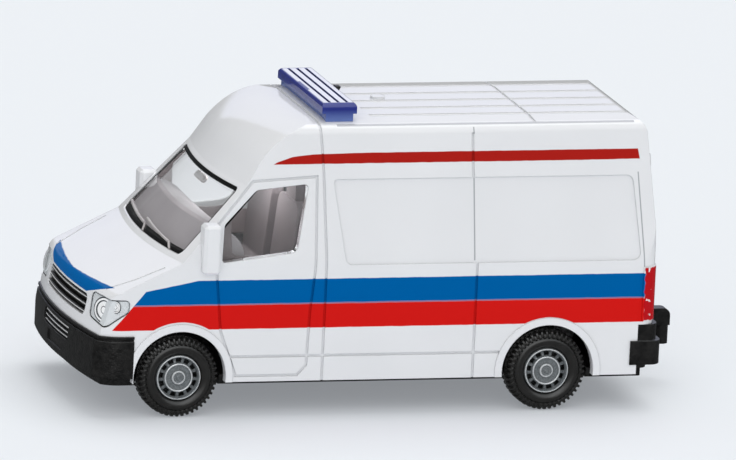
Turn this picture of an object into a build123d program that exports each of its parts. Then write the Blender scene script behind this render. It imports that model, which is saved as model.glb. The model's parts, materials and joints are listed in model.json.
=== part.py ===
from build123d import *
import functools
import os

os.makedirs("parts", exist_ok=True)

# A pocket-size die-cast toy of a high-roof van ambulance, in millimetres.
# X runs from the nose (-) to the tail (+), Y from the left side (-) to the right (+), Z up.

# Driving sizes of the whole toy
front_overhang = 12.7      # nose of the bumper to the front axle
wheelbase = 50.0
tail_overhang = 14.5       # rear axle to the cast body's tail
bumper_stand = 1.1         # rear bumper proud of the tail
hitch_reach = 5.8          # tow hook proud of the rear bumper
body_width = 33.0
roof_height = 38.3
sill_height = 4.7
wall = 1.2                 # cast zinc wall
seat_gap = 0.05            # between parts that are clipped or pressed into each other

overall_length = front_overhang + wheelbase + tail_overhang + bumper_stand + hitch_reach
front_axle_x = front_overhang - overall_length / 2
rear_axle_x = front_axle_x + wheelbase
tail_x = rear_axle_x + tail_overhang
bumper_x = tail_x + bumper_stand
half_width = body_width / 2

# Wheels and axles
wheel_radius = 5.35
tyre_width = 4.0
tyre_shoulder = 0.7
hub_seat_radius = 3.0      # the tyre's bore on the hub
hub_face_radius = 2.8
rim_width = 0.26
vent_ring_depth = 0.7      # of the ring with the vents below the tyre's face
track_outer = 33.0         # over the outer faces of a pair of tyres
axle_radius = 0.75
axle_running_gap = 0.05
axle_end_inset = 0.8       # end of the steel below the hub's face
vent_count = 12
vent_size = 0.42
vent_circle = 2.1
cap_radius = 1.75
cap_sink = 0.35            # the hub cap's face below the tyre's face
nut_radius = 0.85
nut_sink = 0.12
arch_radius = 6.25
arch_lip = 0.95            # width of the raised lip round an arch
arch_lip_proud = 0.22
wheel_side_gap = 0.45      # from a wheel's inner face to the base

# Side view of the front, from the front axle: distance back and height
nose_foot = (-12.5, 9.0)
nose_shoulder = (-11.1, 16.3)
screen_foot = (-2.0, 20.7)
screen_head = (7.0, 30.5)
roof_front = 12.1
nose_foot_radius = 4.0
nose_shoulder_radius = 1.8
forehead_radius = 11.5
front_bow_radius = 85.0    # the whole front is turned about an upright line this far behind the nose
front_corner_radius = 4.6
front_corner_back = 2.0    # how far the corners stand behind the nose in plan

# Cross-section and tail
belt_height = 20.7
belt_radius = 6.0
cant_half_width = 12.9     # where the side meets the roof
cant_height = 37.9
cant_radius = 1.7
crown_half_width = 8.5
crown_radius = 20.0
tail_lean = 1.5            # the tail's top stands this far ahead of its foot
tail_top_radius = 2.0
tail_corner_radius = 1.7

# Openings in the casting, from the front axle
screen_half_foot = 14.3
screen_half_head = 13.2
screen_corner_radius = 0.8
screen_margin = 0.55       # glass edge to the kink at the scuttle and the header
cab_window = [             # x, z, corner radius
    (5.1, 20.6, 0.4),
    (15.3, 21.8, 1.2),
    (17.0, 30.6, 0.5),
    (9.9, 29.9, 1.2),
    (5.5, 25.5, 1.0),
]
glass_sink = 0.12
glass_thickness = 0.7
glass_band_foot = 19.6
glass_band_head = 32.4

# Panel seams
seam_width = 0.32
seam_depth = 0.22
cab_seam = [(19.3, 3.0), (19.3, 20.0), (19.0, 32.0), (18.5, 40.0)]
door_seam = [
    (17.3, 14.0), (17.8, 19.5), (18.1, 31.5), (9.4, 31.0), (4.7, 25.6), (4.4, 20.0),
    (5.3, 11.6), (7.6, 5.5), (15.9, 5.5), (17.1, 6.8), (17.3, 14.0),
]
panel_seam = [(39.8, 3.0), (39.8, 20.0), (39.3, 32.0), (39.3, 36.8)]
roof_seam_x = 47.8
crease_height = 7.9
bonnet_seam = [(-9.4, 12.9), (-5.6, 14.5), (-2.2, 15.1)]   # back from the front axle, and out from the middle

# Blank panels pressed in where a van would have windows
blank_depth = 0.25
blank_front = [(20.3, 31.1), (22.0, 21.0)]
blank_foot = 20.1
blank_head = 31.1
blank_tail_gap = 2.3       # from the tail
blank_lean = 1.1
blank_radius = 1.0
rear_blank = [(1.0, 21.2, 0.4), (12.6, 21.2, 1.2), (11.4, 31.2, 1.2), (1.0, 31.2, 0.4)]
hinge_size = (0.7, 1.6)        # out from the corner, and height
hinge_proud = 0.35
hinge_heights = (13.2, 22.5, 32.0)
handle_size = (0.9, 2.6)       # half width and height of the rear doors' handle recess
handle_foot = 15.0

# Front end
grille_half_width = 9.3
grille_foot = 12.3
grille_head = 15.1
grille_corner_radius = 0.8
grille_sink = 0.7
slat_count = 3
slat_height = 0.42
slat_sink = 0.1
insert_back = 0.3              # grille and lamps behind the wall's inner face
lamp_inner = (-11.7, 11.6)     # x from the front axle, and y, of the inner front end
lamp_outer = (-7.0, 16.4)
lamp_outline = [               # share along the lamp, z, corner radius
    (0.0, 12.6, 0.7),
    (0.62, 12.0, 1.6),
    (1.0, 14.2, 0.9),
    (1.0, 15.9, 0.5),
    (0.0, 15.9, 0.8),
]
tail_lamp_width = 1.9
tail_lamp_foot = 11.9
tail_lamp_head = 19.2
tail_lamp_proud = 0.18

# Mirror lump at the foot of each door pillar
mirror_x = (2.3, 4.7)
mirror_z = (19.3, 25.9)
mirror_proud = 1.3
mirror_root = 1.4
mirror_bevel = 0.4

# Bumpers
front_bumper_foot = 5.4
front_bumper_head = 11.0
front_bumper_back = 6.3        # its end, ahead of the axle
bumper_proud = 0.2
bumper_groove_height = 10.35
bumper_groove = 0.35
air_intake_half_width = 6.0
air_intake_foot = 8.1
air_intake_head = 10.0
plate_half_width = 3.4
plate_foot = 6.2
plate_head = 7.7
plate_sink = 0.2
rear_bumper_foot = 6.0
rear_bumper_step = 9.2
rear_bumper_head = 11.4
rear_bumper_length = 3.3       # its end, ahead of the tail
rear_bumper_upper_length = 2.3
rear_bumper_radius = 1.6
rear_step_inset = 0.5
bumper_ledge = 2.2
bumper_ledge_thickness = 1.2

# Tow hook
hook_half_width = 0.9
hook_height = 8.5              # middle of the arm at its root
hook_rise = 0.5
hook_arm = 1.5
hook_peg_radius = 0.9
hook_peg_foot = 4.9

# Base plate with the axle beams
base_foot = 4.2
base_thickness = 1.2
beam_half_length = 1.9         # along X
beam_foot = 3.5
beam_head = 7.2
snap_slot = 1.3
pocket_gap = 0.35              # from a wheel's tread to its pocket
rail_y = 5.6                   # the frame rails moulded under the plate
rail_width = 1.3
rail_drop = 0.5
cross_rail_count = 4
silencer = (9.0, 3.4)          # length and width
silencer_at = (30.0, -9.4)     # from the front axle, and y
exhaust_radius = 0.45

# Rivet posts
post_radius = 1.5
post_bore = 0.65
front_post_x = -7.3            # from the front axle
rear_post_gap = 7.5            # from the tail
rivet_head_radius = 1.25
rivet_head = 0.5
rivet_length = 5.0

# Cab moulding
floor_height = 11.6            # underside
floor_thickness = 1.0
floor_front = -5.5
dash_head = 20.0
dash_back = 5.2
dash_radius = 1.4
seat_front = 10.4
seat_cushion_head = 16.6
seat_back_front = 15.4
seat_back_end = 18.0
seat_back_head = 27.0
seat_back_top = 1.3            # thickness of the back at its head
seat_inner = 1.6
seat_outer = 11.4
seat_radius = 1.6
headrest_half_width = 2.2
headrest_head = 29.2
wheel_ring_radius = 2.7
wheel_ring_section = 0.36
wheel_ring_at = (7.2, 19.6)
wheel_ring_y = -6.6
wheel_ring_tilt = 62.0
web_x = 20.0                   # cast web behind the seats, from the front axle
web_foot = 14.0

# Light bar
bar_front = 19.3               # from the front axle
bar_length = 4.7
bar_half_width = 11.0
bar_height = 2.2
bar_end_lean = 0.5
bar_foot_step = 0.5
bar_foot_height = 0.8
bar_groove_count = 3
bar_groove = 0.35
bar_groove_depth = 0.25
bar_peg_radius = 1.0
bar_peg_y = 7.0
vent_dome_at = (30.3, 1.4)
vent_dome_radius = 0.95
vent_dome_height = 0.35
rib_count = 5
rib_pitch = 4.2
rib_width = 1.0
rib_depth = 0.12
rib_ends = (26.5, 3.0)         # from the front axle, and from the tail

reach = 60.0                   # long enough to pass right through the toy
smallest_inset_radius = 0.15


def at(x):
    """A station that is measured back from the front axle."""
    return front_axle_x + x


def outline(rows):
    """A closed face from rows of (x, y, corner radius)."""
    corners = [(x, y) for x, y, _ in rows]
    return make_face(FilletPolyline(*corners, radius=[r for *_, r in rows], close=True))


def inset(rows, distance):
    """Rows of a counterclockwise outline, with every side moved inwards. A radius that gets tiny is left sharp."""
    moved = []
    for i, (x, y, radius) in enumerate(rows):
        ax, ay, _ = rows[i - 1]
        bx, by, _ = rows[(i + 1) % len(rows)]
        before = Vector(x - ax, y - ay).normalized()
        after = Vector(bx - x, by - y).normalized()
        n1, n2 = Vector(-before.Y, before.X), Vector(-after.Y, after.X)
        step = (n1 + n2) * (distance / (1 + n1.dot(n2)))
        outside_corner = before.cross(after).Z > 0
        new_radius = radius - distance if outside_corner else radius + distance
        keeps = radius and new_radius > smallest_inset_radius
        moved.append((x + step.X, y + step.Y, new_radius if keeps else 0))
    return moved


def side_prism(rows, y_from=-reach, y_to=reach):
    """A side-view outline, drawn in X and Z, taken across the toy."""
    face = Plane.XZ.offset(-y_to) * outline(rows)
    return extrude(face, y_to - y_from)


def front_prism(rows, x_from=-reach, x_to=reach):
    """A front-view outline, drawn in Y and Z, taken along the toy."""
    return extrude(Plane.YZ.offset(x_from) * outline(rows), x_to - x_from)


def plan_prism(rows, z_from, z_to):
    return extrude(Plane.XY.offset(z_from) * outline(rows), z_to - z_from)


def block(x_from, x_to, y_from, y_to, z_from, z_to):
    size = (x_to - x_from, y_to - y_from, z_to - z_from)
    middle = ((x_from + x_to) / 2, (y_from + y_to) / 2, (z_from + z_to) / 2)
    return Pos(*middle) * Box(*size)


def bar_y(x, z, radius, y_from, y_to):
    """A round bar across the toy."""
    return Pos(x, (y_from + y_to) / 2, z) * Rot(90, 0, 0) * Cylinder(radius, y_to - y_from)


def bar_x(y, z, radius, x_from, x_to):
    """A round bar along the toy."""
    return Pos((x_from + x_to) / 2, y, z) * Rot(0, 90, 0) * Cylinder(radius, x_to - x_from)


def bar_z(x, y, radius, z_from, z_to):
    return Pos(x, y, (z_from + z_to) / 2) * Cylinder(radius, z_to - z_from)


def both_sides(piece):
    return piece + mirror(piece, Plane.XZ)


@functools.cache
def body_form(depth):
    """The outside of the van's body, or the like form that lies depth inside it."""
    low = -10.0
    bow_x = at(nose_foot[0]) + front_bow_radius
    roof_end = at(roof_front) + forehead_radius
    ahead_of_front = [
        (roof_end, roof_height, 0),
        (roof_end, reach, 0),
        (-reach, reach, 0),
        (-reach, low, 0),
        (at(nose_foot[0]), low, 0),
        (at(nose_foot[0]), nose_foot[1], nose_foot_radius),
        (at(nose_shoulder[0]), nose_shoulder[1], nose_shoulder_radius),
        (at(screen_foot[0]), screen_foot[1], 0),
        (at(screen_head[0]), screen_head[1], 0),
        (at(roof_front), roof_height, forehead_radius),
    ]
    section = [
        (-half_width, low, 0),
        (half_width, low, 0),
        (half_width, belt_height, belt_radius),
        (cant_half_width, cant_height, cant_radius),
        (crown_half_width, roof_height, crown_radius),
        (-crown_half_width, roof_height, crown_radius),
        (-cant_half_width, cant_height, cant_radius),
        (-half_width, belt_height, belt_radius),
    ]
    side = [
        (-reach, low, 0),
        (tail_x, low, 0),
        (tail_x, belt_height, 0),
        (tail_x - tail_lean, roof_height, tail_top_radius),
        (-reach, roof_height, 0),
    ]
    plan_nose = at(nose_foot[0]) - 1.2
    plan = [
        (plan_nose, 0, front_bow_radius / 2),
        (plan_nose + front_corner_back, -half_width, front_corner_radius),
        (tail_x, -half_width, tail_corner_radius),
        (tail_x, half_width, tail_corner_radius),
        (plan_nose + front_corner_back, half_width, front_corner_radius),
    ]
    turned = revolve(
        Plane.XZ * outline(inset(ahead_of_front, -depth)),
        Axis((bow_x, 0, 0), (0, 0, 1)),
        revolution_arc=180,
    )
    ahead = Pos(bow_x, 0, 0) * Rot(0, 0, -90) * Pos(-bow_x, 0, 0) * turned
    form = front_prism(inset(section, depth)) & side_prism(inset(side, depth))
    return (form & plan_prism(inset(plan, depth), low, roof_height + 1)) - ahead


def seam(points, closed=False):
    """A thin band along a side-view line, taken across the toy."""
    line = Polyline(*[(at(x), z) for x, z in points], close=closed)
    band = Plane.XZ.offset(-reach) * trace(line, seam_width)
    return extrude(band, 2 * reach)


outer = body_form(0)
inner = body_form(wall)
glass_outside = body_form(glass_sink)
glass_back = body_form(wall + seat_gap)
glass_inside = body_form(wall + seat_gap + glass_thickness)


def screen_rows():
    """The windscreen's edge in front view: y, z, corner radius."""
    foot = screen_foot[1] + screen_margin
    head = screen_head[1] - screen_margin
    return [
        (-screen_half_foot, foot, screen_corner_radius),
        (screen_half_foot, foot, screen_corner_radius),
        (screen_half_head, head, screen_corner_radius),
        (-screen_half_head, head, screen_corner_radius),
    ]


def screen_prism(rows):
    return front_prism(rows, at(nose_foot[0]), at(roof_front))


def cab_window_rows():
    return [(at(x), z, r) for x, z, r in cab_window]


def grille_rows():
    return [
        (-grille_half_width, grille_foot, grille_corner_radius),
        (grille_half_width, grille_foot, grille_corner_radius),
        (grille_half_width, grille_head, grille_corner_radius),
        (-grille_half_width, grille_head, grille_corner_radius),
    ]


def nose_prism(rows):
    return front_prism(rows, at(nose_foot[0]) - 2, at(nose_shoulder[0]) + 4)


def lamp_prism(side, gap):
    """The headlamp's outline, seen square to the wing's corner and driven through it."""
    start = Vector(at(lamp_inner[0]), side * lamp_inner[1], 0)
    end = Vector(at(lamp_outer[0]), side * lamp_outer[1], 0)
    along = end - start
    length = along.length
    outward = along.normalized().cross(Vector(0, 0, 1)) * side
    plane = Plane(origin=start - outward * 3, x_dir=along.normalized(), z_dir=outward)
    flip = 1 if plane.y_dir.Z > 0 else -1
    rows = [(share * length, flip * z, r) for share, z, r in lamp_outline]
    if flip < 0:
        rows = rows[::-1]
    return extrude(plane * outline(inset(rows, gap)), 8)


def blank_rows():
    (x1, z1), (x2, z2) = blank_front
    end = tail_x - blank_tail_gap
    return [
        (at(x2), blank_foot, blank_radius),
        (end, blank_foot, blank_radius),
        (end - blank_lean, blank_head, blank_radius),
        (at(x1), blank_head, blank_radius / 2),
    ]


def arches():
    cut = bar_y(front_axle_x, wheel_radius, arch_radius, -reach, reach)
    return cut + bar_y(rear_axle_x, wheel_radius, arch_radius, -reach, reach)


def arch_lips():
    """The raised lips round the four arches, still closed across the arch."""
    proud = half_width + arch_lip_proud
    radius = arch_radius + arch_lip
    lips = bar_y(front_axle_x, wheel_radius, radius, half_width - wall / 2, proud)
    lips += bar_y(rear_axle_x, wheel_radius, radius, half_width - wall / 2, proud)
    return both_sides(lips)


def below_body():
    """All that lies under the casting's lower edge, with room for both bumpers."""
    front_end = at(-front_bumper_back)
    rear_end = tail_x - rear_bumper_upper_length
    return side_prism([
        (-reach, -12, 0),
        (reach, -12, 0),
        (reach, rear_bumper_head, 0),
        (rear_end, rear_bumper_head, 0),
        (rear_end, sill_height, 0),
        (front_end, sill_height, 0),
        (front_end, front_bumper_head, 0),
        (-reach, front_bumper_head, 0),
    ])


def make_body_shell():
    shell = outer - inner
    web = body_form(wall / 2) & block(at(web_x), at(web_x) + wall, -reach, reach, web_foot, reach)
    shell += web
    posts = bar_z(at(front_post_x), 0, post_radius, base_foot + base_thickness, reach)
    posts += bar_z(tail_x - rear_post_gap, 0, post_radius, base_foot + base_thickness, reach)
    shell += posts & body_form(wall / 2)
    shell += arch_lips()
    foot = base_foot + base_thickness
    shell -= below_body() - bar_z(at(front_post_x), 0, post_radius, foot, reach)
    shell -= arches()

    shell -= screen_prism(screen_rows())
    shell -= side_prism(cab_window_rows())
    shell -= nose_prism(grille_rows())
    shell -= lamp_prism(1, 0) + lamp_prism(-1, 0)

    skin = outer - body_form(seam_depth)
    roof_seam = block(at(roof_seam_x), at(roof_seam_x) + seam_width, -reach, reach, cant_height, reach)
    crease = block(at(arch_radius), at(wheelbase - arch_radius), -reach, reach,
                   crease_height, crease_height + seam_width)
    rear_seam = block(tail_x - tail_lean - 1, reach, -seam_width / 2, seam_width / 2,
                      rear_bumper_head, cant_height)
    bonnet_edge = Polyline(*[(at(x), y) for x, y in bonnet_seam])
    bonnet_band = both_sides(extrude(Plane.XY.offset(belt_height / 2) * trace(bonnet_edge, seam_width), reach))
    bonnet_band &= block(-reach, at(screen_foot[0]), -reach, reach, nose_shoulder[1], belt_height)
    for band in (seam(cab_seam), seam(door_seam, True), seam(panel_seam), roof_seam, crease, rear_seam,
                 bonnet_band):
        shell -= skin & band

    blank_skin = outer - body_form(blank_depth)
    shell -= blank_skin & side_prism(blank_rows())
    rear_window = front_prism(rear_blank, tail_x - tail_lean - 1.2, reach)
    shell -= blank_skin & both_sides(rear_window)
    shell -= blank_skin & block(tail_x - tail_lean, reach, -handle_size[0], handle_size[0],
                                handle_foot, handle_foot + handle_size[1])
    for z in hinge_heights:
        zone = block(tail_x - 2 * tail_lean, reach, half_width - 2 * tail_corner_radius - hinge_size[0],
                     half_width - 2 * tail_corner_radius, z, z + hinge_size[1])
        shell += both_sides(zone & (body_form(-hinge_proud) - body_form(wall / 2)))
    for i in range(rib_count):
        y = (i - (rib_count - 1) / 2) * rib_pitch
        shell -= block(at(rib_ends[0]), tail_x - rib_ends[1], y - rib_width / 2, y + rib_width / 2,
                       roof_height - rib_depth, reach)

    for x in (at(front_post_x), tail_x - rear_post_gap):
        shell -= bar_z(x, 0, post_bore, foot - 1, foot + rivet_length)
    bar_middle = at(bar_front) + bar_length / 2
    for y in (-bar_peg_y, bar_peg_y):
        shell -= bar_z(bar_middle, y, bar_peg_radius + seat_gap, roof_height - 2 * wall, reach)

    lump_y = half_width + mirror_proud
    lump = block(at(mirror_x[0]), at(mirror_x[1]), half_width - mirror_root, lump_y, *mirror_z)
    lump = chamfer(lump.edges(), mirror_bevel)
    shell += both_sides(lump - inner)

    lamp_zone = block(tail_x - tail_lamp_width, reach, half_width - tail_lamp_width, reach,
                      tail_lamp_foot, tail_lamp_head)
    shell += (body_form(-tail_lamp_proud) - inner) & both_sides(lamp_zone)

    dome = Pos(at(vent_dome_at[0]), vent_dome_at[1], roof_height - rib_depth) * Cylinder(
        vent_dome_radius, vent_dome_height + rib_depth, align=(Align.CENTER, Align.CENTER, Align.MIN))
    shell += dome
    return shell


def make_cab_glazing():
    band = glass_back - glass_inside
    band &= block(at(screen_foot[0]) - 3, at(web_x) - seat_gap, -reach, reach,
                  glass_band_foot, glass_band_head)
    screen = screen_prism(inset(screen_rows(), seat_gap))
    windows = side_prism(inset(cab_window_rows(), seat_gap))
    plugs = (glass_outside - body_form(wall + seat_gap + glass_thickness / 2)) & (screen + windows)
    return band + plugs


def make_cab_interior():
    """The floor, dash, two seats and steering wheel, moulded in one."""
    room = body_form(wall + glass_thickness + 3 * seat_gap)
    floor = block(at(floor_front), at(web_x) - seat_gap, -reach, reach,
                  floor_height, floor_height + floor_thickness)
    dash = side_prism([
        (at(floor_front), floor_height, 0),
        (at(dash_back), floor_height, 0),
        (at(dash_back), dash_head, dash_radius),
        (at(screen_foot[0]) - 1, dash_head, 0),
        (at(floor_front), floor_height + 5, 0),
    ])
    cab = (floor + dash) & room
    cab -= bar_z(at(front_post_x), 0, post_radius + 3 * seat_gap, 0, reach)
    seat = side_prism([
        (at(seat_front), floor_height + floor_thickness / 2, 0),
        (at(seat_back_end), floor_height + floor_thickness / 2, 0),
        (at(seat_back_end), headrest_head, 0),
        (at(seat_back_end) - seat_back_top, headrest_head, 0),
        (at(seat_back_front), seat_cushion_head, 0.4),
        (at(seat_front), seat_cushion_head, seat_radius / 2),
    ], seat_inner - 1, seat_outer + 1)
    shape = front_prism([
        (seat_inner, 0, 0),
        (seat_outer, 0, 0),
        (seat_outer, seat_back_head, seat_radius),
        (seat_inner, seat_back_head, seat_radius),
    ])
    seat_middle = (seat_inner + seat_outer) / 2
    headrest = block(at(seat_back_end) - seat_back_top, at(seat_back_end), seat_middle - headrest_half_width,
                     seat_middle + headrest_half_width, seat_back_head - 1, headrest_head)
    cab += both_sides((seat & shape) + headrest)
    ring_at = Pos(at(wheel_ring_at[0]), wheel_ring_y, wheel_ring_at[1])
    tilt = Rot(0, wheel_ring_tilt, 0)
    ring = revolve(Plane.XZ * Pos(wheel_ring_radius, 0) * RegularPolygon(wheel_ring_section, 4), Axis.Z)
    spoke = Box(2 * wheel_ring_radius, 0.8, 0.5) + Box(0.8, 2 * wheel_ring_radius, 0.5)
    column = Pos(0, 0, -2.2) * Box(1.0, 1.0, 4.4)
    cab += ring_at * tilt * (ring + spoke + column)
    return cab


def make_radiator_grille():
    rows = inset(grille_rows(), seat_gap)
    plate = (body_form(grille_sink) - body_form(wall + insert_back)) & nose_prism(rows)
    bars = (body_form(slat_sink) - body_form(grille_sink + 0.1)) & nose_prism(rows)
    pitch = (grille_head - grille_foot) / slat_count
    for i in range(slat_count):
        z = grille_foot + (i + 0.5) * pitch
        plate += bars & block(-reach, reach, -reach, reach, z - slat_height / 2, z + slat_height / 2)
    return plate


def make_headlamp(side):
    return (body_form(slat_sink) - body_form(wall + insert_back)) & lamp_prism(side, seat_gap)


def make_light_bar():
    front, back = at(bar_front), at(bar_front) + bar_length
    head = roof_height + bar_height
    top = side_prism([
        (front + bar_foot_step, roof_height - 2, 0),
        (back - bar_foot_step, roof_height - 2, 0),
        (back - bar_foot_step, roof_height + bar_foot_height, 0),
        (back, roof_height + bar_foot_height, 0),
        (back, head, 0.5),
        (front, head, 0.5),
        (front, roof_height + bar_foot_height, 0),
        (front + bar_foot_step, roof_height + bar_foot_height, 0),
    ])
    shoulder = head - bar_end_lean
    ends = front_prism([
        (-bar_half_width, roof_height - 3, 0),
        (bar_half_width, roof_height - 3, 0),
        (bar_half_width, shoulder, 0.3),
        (bar_half_width - 2 * bar_end_lean, shoulder + 2 * bar_end_lean, 0),
        (-bar_half_width + 2 * bar_end_lean, shoulder + 2 * bar_end_lean, 0),
        (-bar_half_width, shoulder, 0.3),
    ])
    bar = (top & ends) - outer
    pitch = bar_length / (bar_groove_count + 1)
    for i in range(bar_groove_count):
        x = front + (i + 1) * pitch
        bar -= block(x - bar_groove / 2, x + bar_groove / 2, -bar_half_width + 1, bar_half_width - 1,
                     head - bar_groove_depth, reach)
    for y in (-bar_peg_y, bar_peg_y):
        bar += bar_z((front + back) / 2, y, bar_peg_radius, roof_height - wall, roof_height + 0.5)
    return bar


def wheel_pockets(width):
    """Room for both pairs of wheels beside the base."""
    radius = wheel_radius + pocket_gap
    inner_y = track_outer / 2 - tyre_width - wheel_side_gap
    pockets = bar_y(front_axle_x, wheel_radius, radius, inner_y, width)
    pockets += bar_y(rear_axle_x, wheel_radius, radius, inner_y, width)
    return both_sides(pockets)


def make_chassis_base():
    head = base_foot + base_thickness
    plate = body_form(wall + seat_gap) & block(-reach, reach, -reach, reach, base_foot, head)
    plate -= wheel_pockets(reach)
    beam_y = track_outer / 2 - tyre_width - wheel_side_gap
    rails_from = front_axle_x + beam_half_length
    rails_to = rear_axle_x - beam_half_length
    rail = block(rails_from, rails_to, rail_y - rail_width / 2, rail_y + rail_width / 2,
                 base_foot - rail_drop, base_foot)
    plate += both_sides(rail)
    for i in range(cross_rail_count):
        x = rails_from + (i + 0.5) * (rails_to - rails_from) / cross_rail_count
        plate += block(x - rail_width / 2, x + rail_width / 2, -rail_y, rail_y, base_foot - rail_drop / 2, base_foot)
    (length, width), (pot_x, pot_y) = silencer, silencer_at
    plate += plan_prism([
        (at(pot_x), pot_y - width / 2, width / 3),
        (at(pot_x) + length, pot_y - width / 2, width / 3),
        (at(pot_x) + length, pot_y + width / 2, width / 3),
        (at(pot_x), pot_y + width / 2, width / 3),
    ], base_foot - rail_drop, base_foot)
    plate += bar_x(pot_y, base_foot, exhaust_radius, rails_from, at(pot_x))
    for x in (front_axle_x, rear_axle_x):
        plate += block(x - beam_half_length, x + beam_half_length, -beam_y, beam_y, beam_foot, beam_head)
    for x in (front_axle_x, rear_axle_x):
        plate -= bar_y(x, wheel_radius, axle_radius + axle_running_gap, -reach, reach)
        plate -= block(x - snap_slot / 2, x + snap_slot / 2, -reach, reach, wheel_radius, reach)
    for x in (at(front_post_x), tail_x - rear_post_gap):
        plate -= bar_z(x, 0, post_bore, 0, reach)
    return plate


def make_front_bumper():
    zone = block(-reach, at(-front_bumper_back), -reach, reach, front_bumper_foot, front_bumper_head)
    ledge_zone = block(-reach, at(-front_bumper_back), -reach, reach,
                       base_foot + base_thickness, base_foot + base_thickness + bumper_ledge_thickness)
    shape = body_form(-bumper_proud)
    bumper = (shape - body_form(wall)) & zone
    bumper += (body_form(wall / 2) - body_form(wall + bumper_ledge)) & ledge_zone
    bumper -= bar_z(at(front_post_x), 0, post_radius + seat_gap, 0, reach)
    bumper -= (shape - body_form(bumper_groove - bumper_proud)) & block(
        -reach, reach, -reach, reach, bumper_groove_height, bumper_groove_height + bumper_groove)
    intake = front_prism([
        (-air_intake_half_width, air_intake_foot, 0.4),
        (air_intake_half_width, air_intake_foot, 0.4),
        (air_intake_half_width, air_intake_head, 0.4),
        (-air_intake_half_width, air_intake_head, 0.4),
    ], -reach, front_axle_x - front_bumper_back)
    slats = body_form(0)
    pitch = (air_intake_head - air_intake_foot) / slat_count
    bars = []
    for i in range(slat_count):
        z = air_intake_foot + (i + 0.5) * pitch
        bars.append(block(-reach, reach, -reach, reach, z - slat_height / 2, z + slat_height / 2))
    opening = (shape - body_form(bumper_groove)) & intake
    for bar in bars:
        opening -= slats & bar
    bumper -= opening
    plate = front_prism([
        (-plate_half_width, plate_foot, 0),
        (plate_half_width, plate_foot, 0),
        (plate_half_width, plate_head, 0),
        (-plate_half_width, plate_head, 0),
    ], -reach, front_axle_x - front_bumper_back)
    bumper -= (shape - body_form(plate_sink - bumper_proud)) & plate
    return bumper


def make_rear_bumper():
    def level(front, proud, half, z_from, z_to):
        return plan_prism([
            (front, -half, 0),
            (tail_x + proud, -half, rear_bumper_radius),
            (tail_x + proud, half, rear_bumper_radius),
            (front, half, 0),
        ], z_from, z_to)

    lower_front = tail_x - rear_bumper_length
    upper_front = tail_x - rear_bumper_upper_length
    bumper = level(lower_front, bumper_stand, half_width + bumper_proud,
                   rear_bumper_foot, rear_bumper_step)
    bumper += level(upper_front, bumper_stand - rear_step_inset, half_width,
                    rear_bumper_step, rear_bumper_head)
    bumper -= body_form(wall)
    shell_side = outer & block(-reach, upper_front + seat_gap, -reach, reach, 0, reach)
    bumper -= shell_side
    ledge = (body_form(wall / 2) - body_form(wall + bumper_ledge)) & block(
        upper_front + 2 * seat_gap, reach, -reach, reach,
        base_foot + base_thickness, base_foot + base_thickness + bumper_ledge_thickness)
    return bumper + ledge


def make_tow_hook():
    root = bumper_x
    end = bumper_x + hitch_reach
    z = hook_height
    peg_x = end - hook_peg_radius
    arm = side_prism([
        (root, z - hook_arm / 2, 0),
        (peg_x - 2 * hook_peg_radius, z - hook_arm / 2, 1.0),
        (peg_x - hook_peg_radius, z - hook_arm / 2 + hook_rise - 0.8, 0),
        (end, z - hook_arm / 2 + hook_rise - 0.8, 0),
        (end, z + hook_arm / 2 + hook_rise, 1.0),
        (peg_x - 2 * hook_peg_radius, z + hook_arm / 2 + hook_rise, 1.5),
        (root, z + hook_arm / 2 - 0.3, 0),
    ], -hook_half_width, hook_half_width)
    return arm + bar_z(peg_x, 0, hook_peg_radius, hook_peg_foot, z)


def make_rivet(x):
    head = base_foot + base_thickness
    shank = bar_z(x, 0, post_bore - seat_gap, base_foot - rivet_head / 2, head + rivet_length - 0.5)
    return shank + bar_z(x, 0, rivet_head_radius, base_foot - rivet_head, base_foot)


def make_axle(x):
    half = track_outer / 2 - axle_end_inset
    return bar_y(x, wheel_radius, axle_radius, -half, half)


def wheel_plane(x, side):
    """Origin on the wheel's outer face, Z pointing outwards."""
    return Plane(origin=(x, side * track_outer / 2, wheel_radius), x_dir=(1, 0, 0), z_dir=(0, side, 0))


def make_hub(x, side):
    width = tyre_width
    profile = [
        (0, -width, 0),
        (hub_seat_radius, -width, 0),
        (hub_seat_radius, -0.5, 0),
        (hub_face_radius, -0.15, 0),
        (hub_face_radius - rim_width, -0.15, 0),
        (hub_face_radius - rim_width - 0.1, -vent_ring_depth, 0),
        (cap_radius, -vent_ring_depth, 0),
        (cap_radius - 0.2, -cap_sink, 0),
        (nut_radius, -cap_sink, 0),
        (nut_radius - 0.15, -nut_sink, 0),
        (0, -nut_sink, 0),
    ]
    hub = revolve(Plane.XZ * outline(profile), Axis.Z)
    vent = Box(vent_size, vent_size, 1.2)
    for i in range(vent_count):
        hub -= Rot(0, 0, i * 360 / vent_count) * Pos(vent_circle, 0, -vent_ring_depth) * vent
    hub -= Pos(0, 0, -width / 2 - axle_end_inset / 2) * Cylinder(
        axle_radius + 0.01, width - axle_end_inset)
    return wheel_plane(x, side) * hub


def make_tyre(x, side):
    r, shoulder = wheel_radius, tyre_shoulder
    profile = [
        (hub_seat_radius + 0.02, -tyre_width, 0),
        (r - shoulder, -tyre_width, 0),
        (r, shoulder - tyre_width, 0),
        (r, -shoulder, 0),
        (r - shoulder, 0, 0),
        (r - 1.3, 0, 0),
        (hub_seat_radius + 0.02, -0.5, 0),
    ]
    return wheel_plane(x, side) * revolve(Plane.XZ * outline(profile), Axis.Z)


def save(piece, node):
    export_step(piece, f"parts/{node}.step")


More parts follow.
